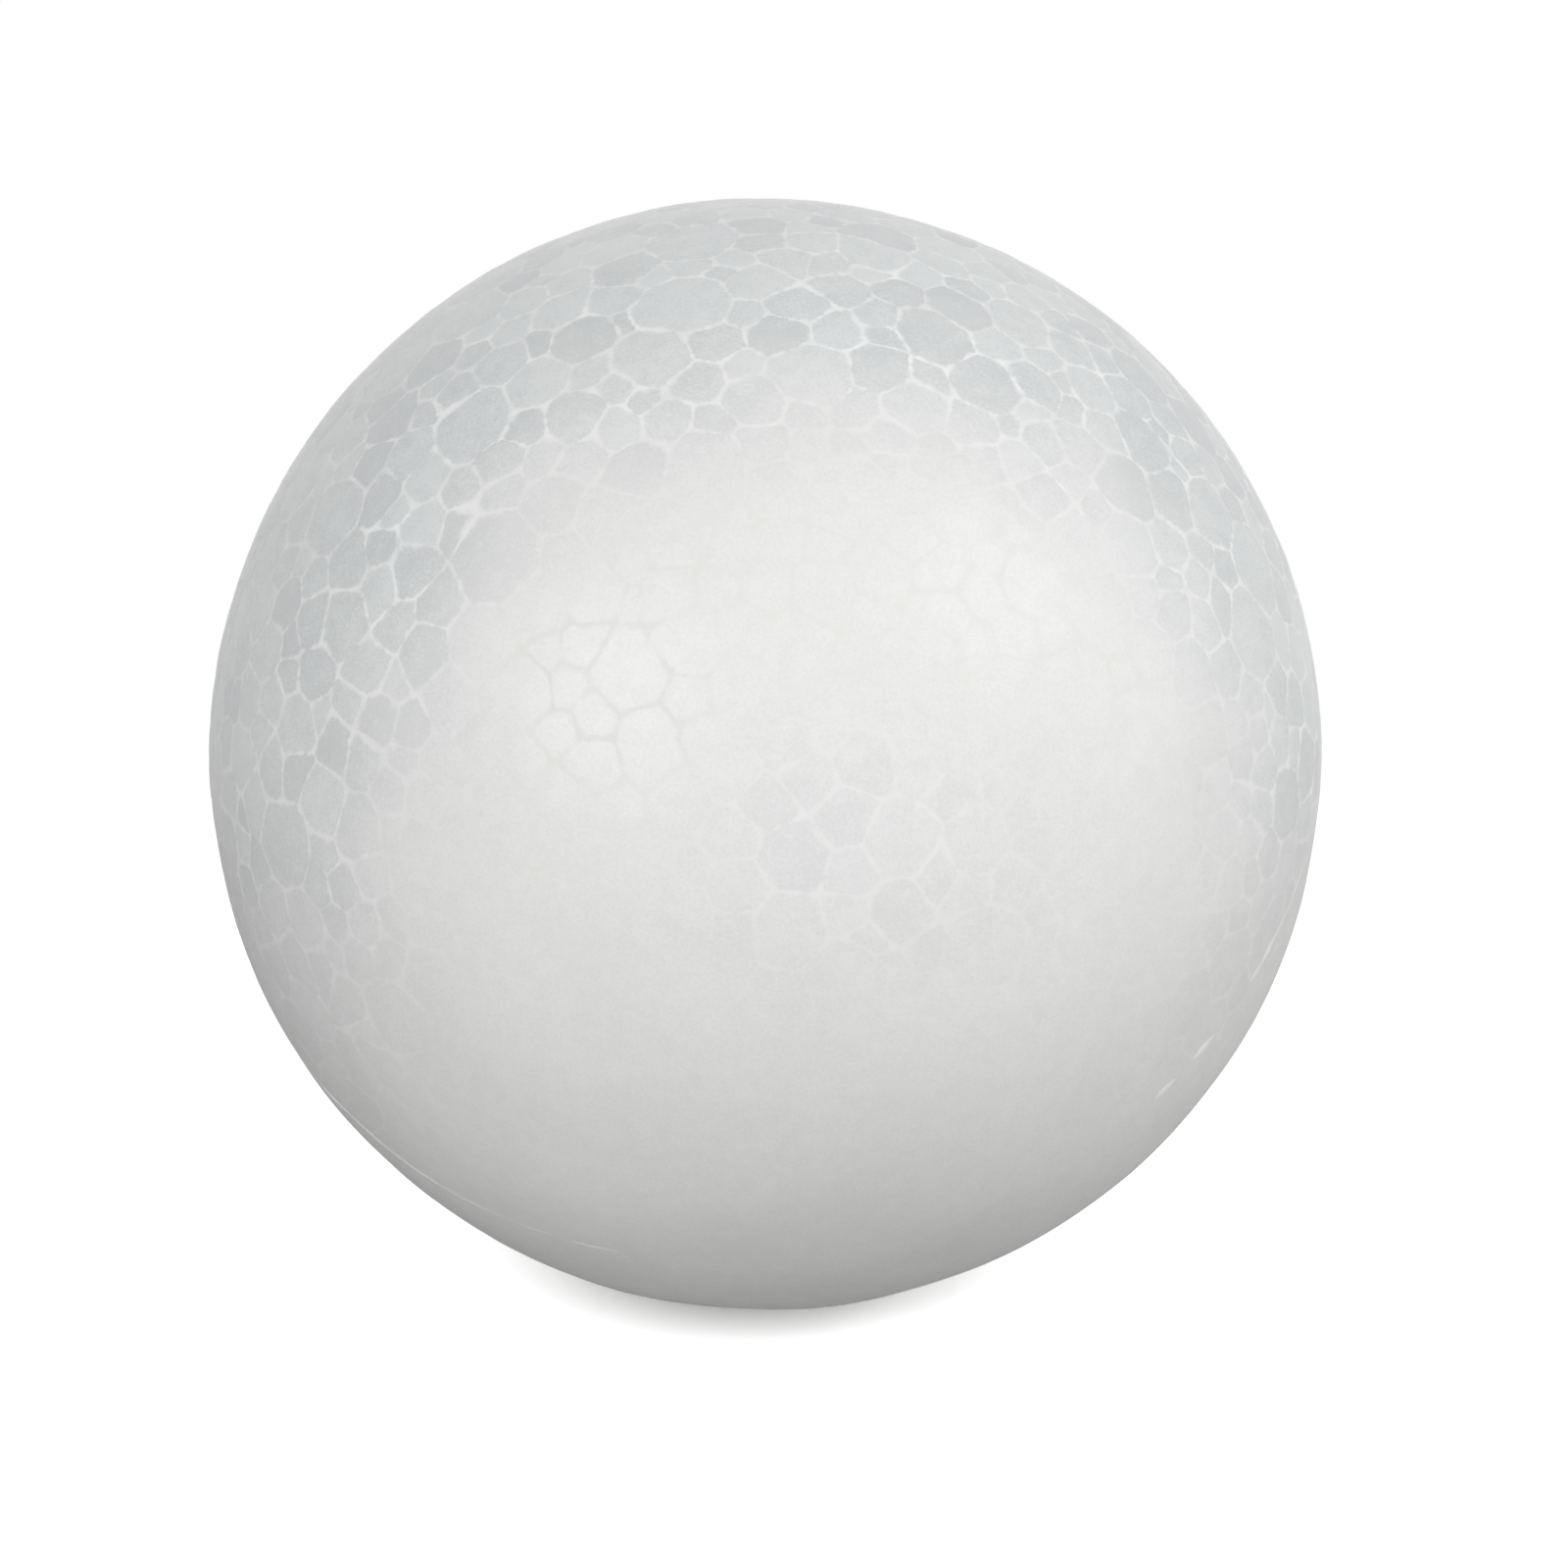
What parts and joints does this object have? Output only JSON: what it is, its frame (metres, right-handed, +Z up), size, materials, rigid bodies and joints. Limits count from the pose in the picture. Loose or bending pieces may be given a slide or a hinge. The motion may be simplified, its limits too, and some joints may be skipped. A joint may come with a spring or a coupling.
{
  "type": "polystyrene ball",
  "caption": "White moulded foam craft ball with a mosaic of fused bead faces and a fine mould seam round its widest circle.",
  "frame": {"origin": "the ball's centre", "axes": "+Z up as the ball lies in the picture, whose camera looks along +Y; the seam's plane is tilted in this frame"},
  "size_m": [0.0799, 0.0799, 0.08],
  "materials": {
    "foam": "moulded expanded polystyrene, white, satin bead skins with rougher and whiter joints between them"
  },
  "bodies": {
    "root": {"ball": "foam"}
  },
  "joints": []
}
